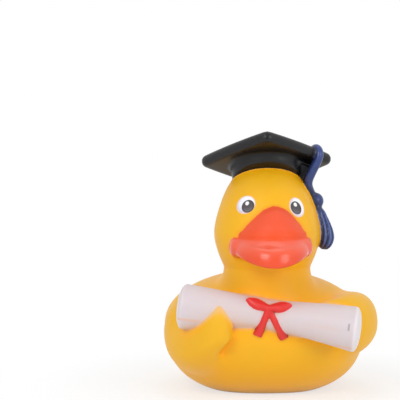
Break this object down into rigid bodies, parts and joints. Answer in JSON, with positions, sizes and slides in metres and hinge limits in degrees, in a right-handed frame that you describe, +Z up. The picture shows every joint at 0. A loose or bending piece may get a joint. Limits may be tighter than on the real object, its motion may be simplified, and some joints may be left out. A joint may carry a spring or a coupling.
{
  "type": "rubber duck",
  "caption": "Hollow moulded bath duck wearing a tilted square graduation cap with a side tassel and holding a rolled paper tied with a bow.",
  "frame": {"origin": "middle of the box round the part, on the floor plane of the flat foot", "axes": "+Z up from the foot to the cap, the bill points along -Y, the left wing is on the +X side"},
  "size_m": [0.0772, 0.0888, 0.0943],
  "materials": {
    "vinyl": "soft vinyl, satin, moulded in yellow and sprayed in coral, black, navy, white and red"
  },
  "bodies": {
    "root": {"duck": "vinyl"}
  },
  "joints": []
}
